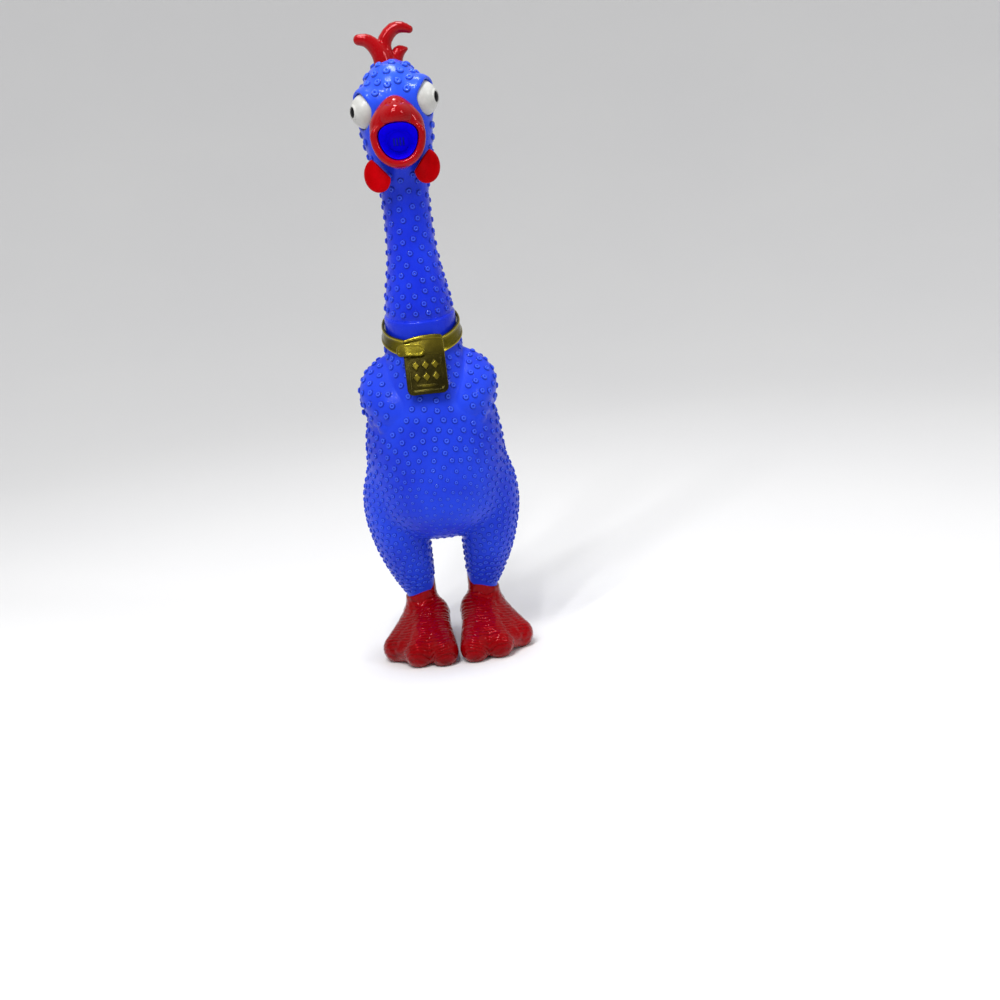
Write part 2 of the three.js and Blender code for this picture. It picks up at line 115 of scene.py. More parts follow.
# Outlines: height, x and y of the middle, half-width and half-depth.
TORSO = np.array([
    [158, 0, -6, 12, 10], [161, 0, -7, 36, 30], [167, 0, -8, 53, 46], [178, 0, -10, 67, 61],
    [199, 0, -12, 84, 77], [230, 0, -13, 91, 86], [265, 0, -13, 92, 88], [295, 0, -13, 90.5, 86],
    [318, 0, -12, 87, 82], [338, 0, -11.5, 81.5, 78], [352, 0, -10.5, 75, 74], [380, 0, -8, 63, 67],
    [403, 0, -4, 54.5, 57],
    [420, 0, -1.5, 50, 51], [436, 0, 0, 47.6, 48], [448, 0, 0, 46.8, 47], [470, 0, 0, 46.5, 46.5],
], float)
THIGH = np.array([
    [50, 43, 0, 15, 15], [66, 43.2, 0, 18.8, 18.8], [80, 43.5, 0, 20.3, 20.3], [95, 47.5, -1, 24.6, 25.3],
    [112, 51.5, -2, 29, 31], [140, 57, -4, 35, 39.5], [165, 60, -6, 38.8, 45.5],
    [189, 62, -7, 41.4, 49], [216, 62, -8, 42.2, 51], [242, 59, -9, 41, 49], [275, 53, -10, 30, 38],
    [298, 48, -10, 12, 16],
], float)
WING = np.array([
    [316, 52, -28, 12, 24], [326, 47, -28, 33, 43], [338, 42, -26, 42, 52], [357, 41, -24, 49, 49.5],
    [376, 44, -20, 45, 38.5], [392, 46, -14, 34, 26], [402, 47, -10, 22, 16], [410, 48, -8, 7, 7],
], float)
TAIL = np.array([
    [178, 0, 52, 6, 7], [192, 0, 58, 20, 22], [212, 0, 64, 21, 24], [232, 0, 72, 15, 17],
    [246, 0, 80, 5, 6],
], float)
NECK = np.array([
    [440, 0, 0, 40, 40], [462, 0, 0, 44, 44], [480, 0, 0, 42.5, 42.5], [497, 0, 0, 39.5, 39.5],
    [523, 0, 0, 34.6, 34.6], [550, 0, 0, 31.6, 31.6], [580, 0, 0, 30.4, 30.4], [609, 0, 0, 30.6, 30.6],
    [625, 0, -1, 31.5, 31.8], [640, 0, -3, 34, 35], [662, 0, -4, 40, 40.5], [685, 0, -4, 44.5, 44.5],
    [710, 0, -3, 45.5, 46], [735, 0, -2, 43, 45], [753, 0, 0, 37.5, 40], [766, 0, 2, 30.5, 33],
    [776, 0, 3, 20, 22], [781.5, 0, 3, 9, 10],
], float)
# The beak runs forward: distance ahead, x and height of the middle, half-width and half-height.
BEAK = np.array([
    [22, 0, 691.5, 34.8, 44.6], [46, 0, 691.5, 34.8, 44.6], [56, 0, 691.5, 33.2, 42], [62, 0, 691, 29, 36],
    [66, 0, 691, 22, 28], [68, 0, 691, 12, 16],
], float)

LEFT, RIGHT = 1, -1


# ---- distance fields ----
def smooth_union(a, b, k):
    h = np.clip(0.5 + 0.5 * (b - a) / k, 0, 1)
    return b * (1 - h) + a * h - k * h * (1 - h)


def smooth_cut(a, b, k):
    """a with b taken away."""
    return -smooth_union(-a, b, k)


def smooth_meet(a, b, k):
    return -smooth_union(-a, -b, k)


def smooth_step(x, low, high):
    t = np.clip((x - low) / (high - low), 0, 1)
    return t * t * (3 - 2 * t)


def through(knots, values, at):
    """The smooth curve through rows of values at rising knots."""
    slopes = np.gradient(values, knots, axis=0)
    at = np.clip(at, knots[0], knots[-1])
    i = np.clip(np.searchsorted(knots, at) - 1, 0, len(knots) - 2)
    span = knots[i + 1] - knots[i]
    t = ((at - knots[i]) / span)[:, None]
    span = span[:, None]
    return (
        (2 * t**3 - 3 * t**2 + 1) * values[i] + (t**3 - 2 * t**2 + t) * span * slopes[i]
        + (3 * t**2 - 2 * t**3) * values[i + 1] + (t**3 - t**2) * span * slopes[i + 1]
    )


def ring_distance(across, deep, half_across, half_deep):
    """Distance to an ellipse's line, close near it."""
    k0 = np.sqrt((across / half_across) ** 2 + (deep / half_deep) ** 2) + 1e-6
    k1 = np.sqrt((across / half_across**2) ** 2 + (deep / half_deep**2) ** 2) + 1e-6
    return k0 * (k0 - 1) / k1


def loft(p, rows):
    """A soft form through stations along the third axis of p."""
    x, y, w, d = through(rows[:, 0], rows[:, 1:], p[:, 2]).T
    side = ring_distance(p[:, 0] - x, p[:, 1] - y, w, d)
    past = np.maximum(rows[0, 0] - p[:, 2], p[:, 2] - rows[-1, 0])
    return np.where(past > 0, np.hypot(np.maximum(side, 0), past), side)


def ellipsoid(p, centre, radii):
    q = (p - centre) / radii
    k0 = np.linalg.norm(q, axis=1) + 1e-6
    k1 = np.linalg.norm(q / radii, axis=1) + 1e-6
    return k0 * (k0 - 1) / k1


def finger(p, a, b, start_r, end_r):
    """A bar with round ends between two points."""
    a, b = np.asarray(a, float), np.asarray(b, float)
    along = np.clip((p - a) @ (b - a) / ((b - a) @ (b - a)), 0, 1)
    return np.linalg.norm(p - a - along[:, None] * (b - a), axis=1) - (start_r + (end_r - start_r) * along)


def bent_finger(p, points, radii, pieces=10):
    """A round bar along the smooth curve through a few points."""
    knots = np.linspace(0, 1, len(points))
    at = np.linspace(0, 1, pieces + 1)
    path = through(knots, np.asarray(points, float), at)
    size = through(knots, np.asarray(radii, float)[:, None], at)[:, 0]
    parts = [finger(p, path[i], path[i + 1], size[i], size[i + 1]) for i in range(pieces)]
    return np.minimum.reduce(parts)


def sided(p):
    """The same place on the chicken's left half."""
    return np.column_stack([np.abs(p[:, 0]), p[:, 1], p[:, 2]])


def ripple(p, size, seed):
    """Smooth wandering noise from -1 to 1, with features about this size."""
    turns = np.random.default_rng(seed).normal(size=(5, 3))
    turns *= 2 * np.pi / size / np.linalg.norm(turns, axis=1)[:, None]
    shift = np.random.default_rng(seed + 1).uniform(0, 2 * np.pi, 5)
    return np.sin(p @ turns.T + shift).mean(axis=1) * 1.4


# ---- meshes ----
def gradient(field, p, h=0.25):
    steps = np.eye(3) * h
    return np.stack([field(p + s) - field(p - s) for s in steps], axis=1) / (2 * h)


def unit(v):
    return v / np.maximum(np.linalg.norm(v, axis=1), 1e-9)[:, None]


def settled(field, p, rounds=3, reach=1.5):
    """Points moved on to the field's surface."""
    for _ in range(rounds):
        g = gradient(field, p)
        length = np.maximum((g * g).sum(axis=1), 0.05)
        p = p - (np.clip(field(p), -reach, reach) / length)[:, None] * g
    return p


def surface(field, low, high, cell):
    """The field's surface inside a box, as points and quads that face out."""
    axes = [np.arange(a, b + cell, cell) for a, b in zip(low, high)]
    deep, tall = np.meshgrid(axes[1], axes[2], indexing="ij")
    values = np.empty([len(a) for a in axes], np.float32)
    for i, x in enumerate(axes[0]):
        slab = np.column_stack([np.full(deep.size, x), deep.ravel(), tall.ravel()])
        values[i] = field(slab).reshape(deep.shape)
    grid = vdb.FloatGrid()
    grid.background = float(cell * 3)
    grid.copyFromArray(np.clip(values, -3 * cell, 3 * cell))
    points, quads = grid.convertToQuads(isovalue=0.0)
    points = settled(field, points.astype(float) * cell + np.array(low, float))
    corner = points[quads]
    facing = np.cross(corner[:, 2] - corner[:, 0], corner[:, 3] - corner[:, 1])
    outward = gradient(field, corner.mean(axis=1))
    if np.median((facing * outward).sum(axis=1)) < 0:
        quads = quads[:, ::-1]
    return points, quads.astype(int)


def compact(points, quads):
    """Only the points that the quads use."""
    used, flat = np.unique(quads, return_inverse=True)
    return points[used], flat.reshape(quads.shape)


def mesh_piece(name, points, faces, material, normals=None, relief=None):
    """A smooth-shaded mesh object, from millimetres about the neck's axis.

    Relief is 1 on the highest detail and -1 in the deepest, for the material to paint as highlight and
    shade.
    """
    mesh = bpy.data.meshes.new(name)
    mesh.from_pydata(((points + SPINE) * METRES).tolist(), [], [list(map(int, f)) for f in faces])
    mesh.materials.append(material)
    mesh.polygons.foreach_set("use_smooth", np.ones(len(mesh.polygons), bool))
    if relief is None:
        relief = np.zeros(len(points))
    shade = mesh.attributes.new("relief", "FLOAT", "POINT")
    shade.data.foreach_set("value", np.asarray(relief, np.float32))
    if normals is not None:
        mesh.normals_split_custom_set_from_vertices(normals.tolist())
    piece = bpy.data.objects.new(name, mesh)
    bpy.context.scene.collection.objects.link(piece)
    return piece


def mirrored(points, faces):
    return points * [-1, 1, 1], [f[::-1] for f in faces]


def ring_faces(loops, count):
    """Faces that join each loop of so many points to the next one."""
    faces = []
    for r in range(loops - 1):
        for a in range(count):
            b = (a + 1) % count
            faces.append([r * count + a, r * count + b, (r + 1) * count + b, (r + 1) * count + a])
    return faces


def rings(rows):
    """Points and faces of a skin through loops of equally many points."""
    return np.vstack(rows), ring_faces(len(rows), len(rows[0]))


# ---- studs ----
# One stud's rings from its rim inwards: share of its radius, share of its height, degrees that its normal
# leans, and relief, which paints a highlight above 0 and shade below 0. Then the dimple in its middle:
# share of the height, and relief, a painted dark centre.
STUD_RINGS = [(1.0, -0.08, 10, -1.0), (0.86, 0.4, 62, -0.55), (0.56, 1.0, 14, 0.8), (0.3, 0.74, -40, -0.1)]
STUD_DIMPLE = (0.5, -0.9)
STUD_SIDES = 10


def scattered(points, spacing, wanted, seed):
    """Sites among the points, no two closer than the spacing there."""
    order = np.random.default_rng(seed).permutation(np.flatnonzero(wanted))
    cell = float(spacing[order].max())
    taken, sites = {}, []
    for i in order:
        key = tuple((points[i] // cell).astype(int))
        near = [
            q for dx in (-1, 0, 1) for dy in (-1, 0, 1) for dz in (-1, 0, 1)
            for q in taken.get((key[0] + dx, key[1] + dy, key[2] + dz), ())
        ]
        if all(np.dot(points[i] - q, points[i] - q) > spacing[i] ** 2 for q in near):
            taken.setdefault(key, []).append(points[i])
            sites.append(points[i])
    return np.array(sites)


def evened(sites, points, wanted, field, rounds=5):
    """The sites spread evenly, as a moulded pattern is, each at the middle of the skin nearest to it."""
    cover = points[wanted]
    for _ in range(rounds):
        tree = KDTree(len(sites))
        for i, s in enumerate(sites):
            tree.insert(s, i)
        tree.balance()
        owner = np.array([tree.find(c)[1] for c in cover])
        count = np.bincount(owner, minlength=len(sites))
        middle = np.stack([np.bincount(owner, cover[:, k], len(sites)) for k in range(3)], axis=1)
        keep = count > 0
        sites = settled(field, middle[keep] / count[keep][:, None], rounds=2, reach=6)
    return sites


def studs(sites, field, radius, height, flatness):
    """Ringed bumps as points, faces, normals and relief. Flatness squeezes each one along the height."""
    n = unit(gradient(field, sites))
    up = np.array([0.0, 0.0, 1.0]) - n * n[:, 2:3] + 1e-4
    up = unit(up)
    across = np.cross(up, n)
    turn = np.arange(STUD_SIDES) * 2 * np.pi / STUD_SIDES
    points, normals, relief = [], [], []
    for share, rise, tilt, shade in STUD_RINGS:
        lean = math.radians(tilt)
        for a in turn:
            away = across * math.cos(a) + up * math.sin(a) * flatness[:, None]
            points.append(sites + away * (share * radius)[:, None] + n * (rise * height)[:, None])
            normals.append(unit(n * math.cos(lean) + away * math.sin(lean)))
            relief.append(np.full(len(sites), shade))
    points.append(sites + n * (STUD_DIMPLE[0] * height)[:, None])
    normals.append(n)
    relief.append(np.full(len(sites), STUD_DIMPLE[1]))
    per_stud = len(points)
    faces = ring_faces(len(STUD_RINGS), STUD_SIDES)
    last = (len(STUD_RINGS) - 1) * STUD_SIDES
    faces += [[last + a, last + (a + 1) % STUD_SIDES, per_stud - 1] for a in range(STUD_SIDES)]
    all_faces = [[i * per_stud + c for c in f] for i in range(len(sites)) for f in faces]

    def by_stud(parts):
        return np.stack(parts, axis=1).reshape(len(sites) * per_stud, -1)

    return by_stud(points), all_faces, by_stud(normals), by_stud([r[:, None] for r in relief])[:, 0]


def studded_piece(name, points, quads, field, sites, sizes, material):
    """A skin with its studs in one mesh."""
    points, quads = compact(points, quads)
    normals = unit(gradient(field, points))
    stud_points, stud_faces, stud_normals, stud_relief = studs(sites, field, *sizes)
    shifted = [[c + len(points) for c in f] for f in stud_faces]
    return mesh_piece(
        name, np.vstack([points, stud_points]), quads.tolist() + shifted, material,
        np.vstack([normals, stud_normals]), np.concatenate([np.zeros(len(points)), stud_relief]),
    )


# ---- materials ----
def srgb(r, g, b):
    """A colour given as on a screen, as the linear colour that the shader wants."""
    shares = [channel / 255 for channel in (r, g, b)]
    linear = [c / 12.92 if c <= 0.04045 else ((c + 0.055) / 1.055) ** 2.4 for c in shares]
    return (*linear, 1.0)


class Nodes:
    """A few words for building a material's node tree."""

    def __init__(self, name):
        self.material = bpy.data.materials.new(name)
        self.material.use_nodes = True
        self.tree = self.material.node_tree
        self.shader = self.tree.nodes["Principled BSDF"]
        self.place = self.add("ShaderNodeTexCoord").outputs["Object"]

    def add(self, kind, **settings):
        node = self.tree.nodes.new(kind)
        for key, value in settings.items():
            setattr(node, key, value)
        return node

    def link(self, source, target):
        self.tree.links.new(source, target)

    def noise(self, scale, detail=3.0, stretch=(1, 1, 1)):
        """Noise whose features are about 1/scale of a metre."""
        mapping = self.add("ShaderNodeMapping")
        mapping.inputs["Scale"].default_value = stretch
        self.link(self.place, mapping.inputs["Vector"])
        node = self.add("ShaderNodeTexNoise")
        node.inputs["Scale"].default_value = scale
        node.inputs["Detail"].default_value = detail
        self.link(mapping.outputs["Vector"], node.inputs["Vector"])
        return node.outputs["Fac"]

    def cells(self, scale):
        node = self.add("ShaderNodeTexVoronoi")
        node.inputs["Scale"].default_value = scale
        self.link(self.place, node.inputs["Vector"])
        return node.outputs["Distance"]

    def height(self):
        """Metres above the floor."""
        parts = self.add("ShaderNodeSeparateXYZ")
        self.link(self.place, parts.inputs["Vector"])
        return parts.outputs["Z"]

    def relief(self):
        return self.add("ShaderNodeAttribute", attribute_name="relief").outputs["Fac"]

    def ramp(self, value, low, high, out_low, out_high):
        node = self.add("ShaderNodeMapRange")
        limits = {"From Min": low, "From Max": high, "To Min": out_low, "To Max": out_high}
        for socket, number in limits.items():
            node.inputs[socket].default_value = number
        self.link(value, node.inputs["Value"])
        return node.outputs["Result"]

    def blend(self, share, a, b):
        """A colour between two, each a colour or another node's output."""
        node = self.add("ShaderNodeMix", data_type="RGBA")
        self.link(share, node.inputs["Factor"])
        for socket, colour in ((node.inputs[6], a), (node.inputs[7], b)):
            if isinstance(colour, tuple):
                socket.default_value = colour
            else:
                self.link(colour, socket)
        return node.outputs[2]

    def bump(self, height, distance, before=None):
        node = self.add("ShaderNodeBump")
        node.inputs["Distance"].default_value = distance
        self.link(height, node.inputs["Height"])
        if before is not None:
            self.link(before, node.inputs["Normal"])
        return node.outputs["Normal"]

    def finish(self, colour, roughness, normal, **constants):
        self.link(colour, self.shader.inputs["Base Color"])
        self.link(roughness, self.shader.inputs["Roughness"])
        self.link(normal, self.shader.inputs["Normal"])
        for socket, value in constants.items():
            self.shader.inputs[socket.replace("_", " ")].default_value = value
        return self.material


def vinyl(name, deep, body, crest_highlight, gloss, coat, tint, grain=0.00006, lit_crown=None):
    """Moulded soft vinyl: cloudy colour, a painted highlight on raised detail, painted shade in its
    valleys, fine grain and faint scuffs.

    A lighter crown colour takes over up the head, painted light from above.
    """
    n = Nodes(name)
    cloudy = n.ramp(n.noise(16, 4), 0.3, 0.7, 0, 1)
    colour = n.blend(cloudy, deep, body)
    # Painted light: the colour turns lighter up the head, as if lit from above.
    if lit_crown is not None:
        colour = n.blend(n.ramp(n.height(), *LIT_CROWN_FADE, 0, 1), colour, lit_crown)
    # Painted highlight: raised detail, such as the studs' crests, turns paler.
    raised_highlight = n.ramp(n.relief(), 0.0, 1.0, 0.0, 0.4)
    colour = n.blend(raised_highlight, colour, crest_highlight)
    # Painted shade: valleys, such as round the studs and in the feet's wrinkles, turn darker.
    valley_shade = n.ramp(n.relief(), -1.0, 0.0, 0.85, 0.0)
    colour = n.blend(valley_shade, colour, tuple(c * SHADE for c in deep[:3]) + (1.0,))
    scuff = n.noise(60, 6, (1, 1, 0.35))
    rough = n.ramp(scuff, 0.35, 0.75, gloss, gloss + 0.1)
    fine = n.bump(n.noise(1400, 2), grain)
    orange_peel = n.bump(n.noise(190, 3), grain * 3, fine)
    return n.finish(
        colour, rough, orange_peel, Coat_Weight=coat, Coat_Roughness=0.05,
        Specular_IOR_Level=0.35, Specular_Tint=tint,
    )


def painted(name, low, high, gloss, coat, tint=(1, 1, 1, 1), specular=0.4):
    """Sprayed paint over vinyl, a little uneven, with specks of dust."""
    n = Nodes(name)
    colour = n.blend(n.ramp(n.noise(55, 5), 0.35, 0.65, 0, 1), low, high)
    rough = n.ramp(n.noise(240, 4), 0.3, 0.7, gloss, gloss + 0.14)
    normal = n.bump(n.noise(700, 3), 0.00008)
    return n.finish(
        colour, rough, normal, Coat_Weight=coat, Coat_Roughness=0.08,
        Specular_IOR_Level=specular, Specular_Tint=tint,
    )


def gold(name, low, high, tarnish, relief_highlight):
    """Metallic gold paint with fine flake, and a painted highlight where it is raised."""
    n = Nodes(name)
    flake = n.ramp(n.cells(1600), 0.0, 0.6, 0, 1)
    colour = n.blend(flake, low, high)
    colour = n.blend(n.ramp(n.noise(45, 4), 0.35, 0.7, 0.0, 0.7), colour, tarnish)
    # Painted highlight where the relief is raised.
    colour = n.blend(n.ramp(n.relief(), 0.0, 1.0, 0.0, 0.75), colour, relief_highlight)
    rough = n.ramp(n.noise(130, 5), 0.3, 0.7, 0.16, 0.28)
    normal = n.bump(n.cells(900), 0.00004, n.bump(n.noise(90, 3), 0.00015))
    return n.finish(colour, rough, normal, Metallic=0.88, Specular_IOR_Level=0.6)


def clear_plastic(name):
    n = Nodes(name)
    colour = n.blend(n.noise(120, 4), srgb(222, 220, 210), srgb(240, 238, 230))
    rough = n.ramp(n.noise(300, 3), 0.3, 0.7, 0.22, 0.34)
    return n.finish(colour, rough, n.bump(n.noise(500, 2), 0.00005))


def spring_brass(name):
    n = Nodes(name)
    brushed = n.noise(900, 4, (1, 0.06, 1))
    colour = n.blend(brushed, srgb(168, 128, 58), srgb(206, 168, 92))
    rough = n.ramp(brushed, 0.3, 0.7, 0.24, 0.4)
    return n.finish(colour, rough, n.bump(brushed, 0.00004), Metallic=1.0)


BLUE_SHEEN, RED_SHEEN = (0.12, 0.25, 1, 1), (1, 0.03, 0.05, 1)  # they keep the pale studio off the colours
LIT_CROWN_FADE = (0.66, 0.77)  # where the crown's painted light fades in, in metres above the floor
SHADE = 0.35  # how dark the painted shade in the vinyl's valleys is, as a share of its deep colour
BLUE = vinyl(
    "blue_vinyl", srgb(26, 46, 192), srgb(35, 66, 216), srgb(108, 152, 250), 0.34, 0.06, BLUE_SHEEN,
)
# The neck's lighter crown colour is painted light from above.
NECK_BLUE = vinyl(
    "neck_blue_vinyl", srgb(18, 36, 190), srgb(26, 54, 216), srgb(98, 142, 250), 0.24, 0.2, BLUE_SHEEN,
    lit_crown=srgb(44, 84, 224),
)
COMB_RED = vinyl(
    "comb_red_vinyl", srgb(134, 0, 4), srgb(160, 0, 9), srgb(186, 6, 18), 0.06, 0.32, RED_SHEEN, 0.00001,
)
FOOT_RED = vinyl(
    "foot_red_vinyl", srgb(108, 0, 2), srgb(138, 0, 6), srgb(168, 6, 16), 0.14, 0.12, RED_SHEEN, 0.00002,
)
WATTLE_RED = painted("wattle_red_paint", srgb(158, 0, 3), srgb(178, 0, 7), 0.5, 0.0, RED_SHEEN, 0.25)
EYE_WHITE = painted("eye_white_paint", srgb(176, 176, 172), srgb(194, 194, 190), 0.3, 0.1)
EYE_BLACK = painted("eye_black_paint", srgb(1, 1, 2), srgb(5, 5, 6), 0.2, 0.05, specular=0.1)
MOUTH_BLUE = painted("mouth_blue_paint", srgb(34, 2, 252), srgb(44, 8, 255), 0.7, 0.0, (0.05, 0, 1, 1), 0.1)
GOLD = gold("gold_paint", srgb(84, 76, 6), srgb(112, 102, 14), srgb(54, 46, 3), srgb(190, 172, 54))
TAG_GOLD = gold("tag_gold_paint", srgb(46, 41, 3), srgb(64, 57, 7), srgb(32, 27, 1), srgb(136, 122, 30))
CLEAR = clear_plastic("clear_plastic")
BRASS = spring_brass("spring_brass")


# ---- trunk and legs ----
def wing(q):
    """A folded wing on the left half: a broad lobe with a soft front edge and feather ends below."""
    lobe = loft(q, WING)
    feathers = [
        finger(q, (70, -18, 362), (79.5, -18, 341), 14, 9.5),
        finger(q, (64, -32, 356), (72.5, -42, 332), 15, 10.5),
        finger(q, (56, -44, 350), (60, -60, 325), 15, 11),
    ]
    return smooth_union(lobe, np.minimum.reduce(feathers), 2)


def tail(p):
    q = sided(p)
    rump = loft(p, TAIL)
    feathers = smooth_union(
        finger(p, (0, 64, 212), (0, 84, 245), 15, 6), finger(q, (6, 62, 208), (14, 80, 236), 13, 5.5), 2.5
    )
    return smooth_union(rump, feathers, 5)


def trunk(p):
    q = sided(p)
    shape = smooth_union(loft(p, TORSO), loft(q, THIGH), 8)
    shape = smooth_union(shape, wing(q), 2)
    return smooth_union(shape, tail(p), 9)


def collar_height(p):
    """Height above the collar's tilted plane."""
    return p[:, 2] - COLLAR_Z - COLLAR_SLOPE * p[:, 1]


def make_trunk():
    points, quads = surface(trunk, (-112, -108, 50), (112, 100, 478), BODY_CELL)
    q = sided(points)
    z = points[:, 2]
    lower = 1 - smooth_step(z, 200, 330)
    ankle = 1 - smooth_step(z, 95, 150)
    spacing = CHEST_SPACING + THIGH_SPACING * lower + ANKLE_SPACING * ankle
    crease = np.abs(wing(q) - loft(points, TORSO)) < 3.5
    above_paint = z - BRIM_Z + BRIM_SLOPE * (q[:, 0] - ANKLE[0]) - BRIM_TILT * points[:, 1]
    wanted = (collar_height(points) < -14) & ~(crease & (z > 300)) & (above_paint > 4.5)
    sites = evened(scattered(points, spacing * CROWDING, wanted, 3), points, wanted, trunk)
    low = 1 - smooth_step(sites[:, 2], 200, 330)
    scaly = 1 - smooth_step(sites[:, 2], 95, 150)
    egg = 1 - smooth_step(np.hypot(sites[:, 0] / 58, (sites[:, 2] - 225) / 75), 0.7, 1.1)
    egg *= sites[:, 1] < 0
    radius = CHEST_RADIUS + THIGH_RADIUS * low + BELLY_RADIUS * low * egg + ANKLE_RADIUS * scaly
    height = CHEST_HEIGHT + THIGH_HEIGHT * low + BELLY_HEIGHT * low * egg
    flatness = 1 - ANKLE_SQUEEZE * scaly
    middle = points[quads].mean(axis=1)
    torso = (middle[:, 2] > LEG_SEAM_Z) & (collar_height(middle) < 3)
    legs = middle[:, 2] <= LEG_SEAM_Z
    on_torso = sites[:, 2] > LEG_SEAM_Z
    skins = {}
    for name, faces, mine in (
        ("torso_skin", torso, on_torso),
        ("leg_skin_left", legs & (middle[:, 0] > 0), ~on_torso & (sites[:, 0] > 0)),
        ("leg_skin_right", legs & (middle[:, 0] < 0), ~on_torso & (sites[:, 0] < 0)),
    ):
        sizes = (radius[mine], height[mine], flatness[mine])
        skins[name] = studded_piece(name, points, quads[faces], trunk, sites[mine], sizes, BLUE)
    return skins


# ---- neck and head ----
def beside_eye(p):
    """Places seen from the eye on their side, as if both eyes were the left one."""
    side = np.where(p[:, 0] < 0, RIGHT, LEFT)
    return np.column_stack([np.abs(p[:, 0]), p[:, 1], p[:, 2] - side * EYE_ASKEW]) - EYE


def lids(p):
    """A rolled brow over each eye and a pouch under it, and the opening that shows the eye."""
    scale = EYE_R / LIDS_EYE_R
    r = beside_eye(p) / scale
    ahead = r @ np.array([math.sin(GAZE), -math.cos(GAZE), 0])
    across = r @ np.array([math.cos(GAZE), math.sin(GAZE), 0])
    ring = np.hypot(across, r[:, 2])
    hood = ellipsoid(r, (-1.5, -1, 3.5), (24.5, 24, 25.5))
    pouch = ellipsoid(r, (-4.5, 0, -9), (22.5, 22, 20.5))
    roll_angle = np.arctan2(r[:, 2], across)
    over = smooth_step(np.sin(roll_angle), -0.1, 0.9)
    under = smooth_step(-np.sin(roll_angle), 0.0, 0.8)
    rim_ahead = 3.0 + 5.5 * over + 1.0 * under
    roll = np.hypot(ring - 22.8, ahead - rim_ahead) - (1.7 + 1.5 * over + 0.7 * under)
    lid = smooth_meet(smooth_union(hood, pouch, 6), ahead - rim_ahead, 2.5)
    return smooth_union(lid, roll, 2.5) * scale, np.maximum(ring - 21.1, rim_ahead - 1 - ahead) * scale


def mouth_share(p):
    """1 on the mouth's outline and less inside: an egg with its broad end up."""
    tall = (p[:, 2] - MOUTH_Z) / MOUTH_H
    wide = p[:, 0] / (MOUTH_W * (1 + MOUTH_EGG * np.clip(tall, -1.2, 1.2)))
    return (np.abs(wide) ** MOUTH_POWER + np.abs(tall) ** MOUTH_POWER) ** (1 / MOUTH_POWER)


def mouth_size(y):
    """How large the mouth's hollow is at a depth, as a share of its opening."""
    return 1 - MOUTH_NARROWS * smooth_step(y, MOUTH_NARROWS_AT, MOUTH_BACK)


def cavity(p, grow=0.0):
    """The mouth's hollow, which narrows to the back."""
    size = mouth_size(p[:, 1])
    return np.maximum((mouth_share(p) - size) * MOUTH_H - grow, p[:, 1] - MOUTH_BACK - grow)


def above_ridge(p):
    return p[:, 2] - RIDGE_Z - RIDGE_SLOPE * p[:, 1]


def ridge(p):
    """A raised hem round the foot of the neck."""
    return np.hypot(above_ridge(p), np.hypot(p[:, 0], p[:, 1]) - RIDGE_R) - RIDGE_BULGE


def hem_band(p):
    """The smooth band between the hem and the collar."""
    return smooth_meet(np.hypot(p[:, 0], p[:, 1]) - HEM_R, above_ridge(p) - 0.5, 3.5)


def head(p):
    shape = smooth_union(loft(p, NECK), hem_band(p), 2)
    shape = smooth_union(shape, ridge(p), 1.6)
    jaw = ellipsoid(p, (0, -14, 662), (34, 32, 26))
    shape = smooth_union(shape, jaw, 8)
    lid, opening = lids(p)
    shape = smooth_cut(smooth_union(shape, lid, 9), opening, 1.6)
    sockets = np.linalg.norm(beside_eye(p), axis=1) - EYE_R - 0.3
    return smooth_cut(smooth_cut(shape, sockets, 0.8), cavity(p, 1.5), 1)


def make_head():
    points, quads = surface(head, (-62, -58, 412), (62, 62, 788), HEAD_CELL)
    z = points[:, 2]
    on_head = smooth_step(z, 640, 690)
    clear_of_beak = (beak(points) > 5) & (cavity(points) > 10)
    clear_of_eyes = ellipsoid(beside_eye(points), (0, 0, 1), (28, 28, 30)) > 0
    clear_of_comb = np.hypot(points[:, 0] - 3, points[:, 1] - 4) > np.where(z > 760, 15, 0)
    clear_of_wattles = wattle(sided(points)) > 6
    clear = clear_of_beak & clear_of_eyes & clear_of_comb & clear_of_wattles
    wanted = (above_ridge(points) > 5) & clear
    spacing = NECK_SPACING + CROWN_SPACING * on_head
    sites = evened(scattered(points, spacing * CROWDING, wanted, 5), points, wanted, head)
    grown = smooth_step(sites[:, 2], 640, 690)
    radius = NECK_RADIUS + CROWN_RADIUS * grown
    height = NECK_HEIGHT + CROWN_HEIGHT * grown
    flatness = np.ones(len(sites))
    middle = points[quads].mean(axis=1)
    above = middle[:, 2] > HEAD_SEAM_Z
    site_above = sites[:, 2] > HEAD_SEAM_Z
    skins = {}
    for name, faces, mine in (
        ("neck_skin", ~above & (collar_height(middle) > -3), ~site_above),
        ("head_skin", above, site_above),
    ):
        sizes = (radius[mine], height[mine], flatness[mine])
        skins[name] = studded_piece(name, points, quads[faces], head, sites[mine], sizes, NECK_BLUE)
    return skins


# ---- beak, comb, wattles, mouth and eyes ----
def mouth_outline(turn):
    """Across and up, each as a share of the mouth's half-size, round its outline from the top."""
    wide, tall = np.sin(turn), np.cos(turn)
    wide = np.sign(wide) * np.abs(wide) ** (2 / MOUTH_POWER)
    tall = np.sign(tall) * np.abs(tall) ** (2 / MOUTH_POWER)
    return wide, tall


def lip_path(steps=44):
    """The middle of the beak's rolled lip, a closed curve round the mouth, and its radius: finer on top."""
    wide, tall = mouth_outline(np.arange(steps + 1) * 2 * np.pi / steps)
    radius = 5.2 - 2.2 * smooth_step(tall, 0.3, 0.9)
    x = wide * (MOUTH_W * (1 + MOUTH_EGG * tall) + radius - 0.8)
    z = MOUTH_Z + tall * (MOUTH_H + radius - 0.8)
    y = -64 - 1.5 * tall**2 - 2.0 * np.maximum(-tall, 0) + 2.5 * smooth_step(tall, 0.4, 0.9)
    return np.column_stack([x, y, z]), radius


LIP, LIP_R = lip_path()


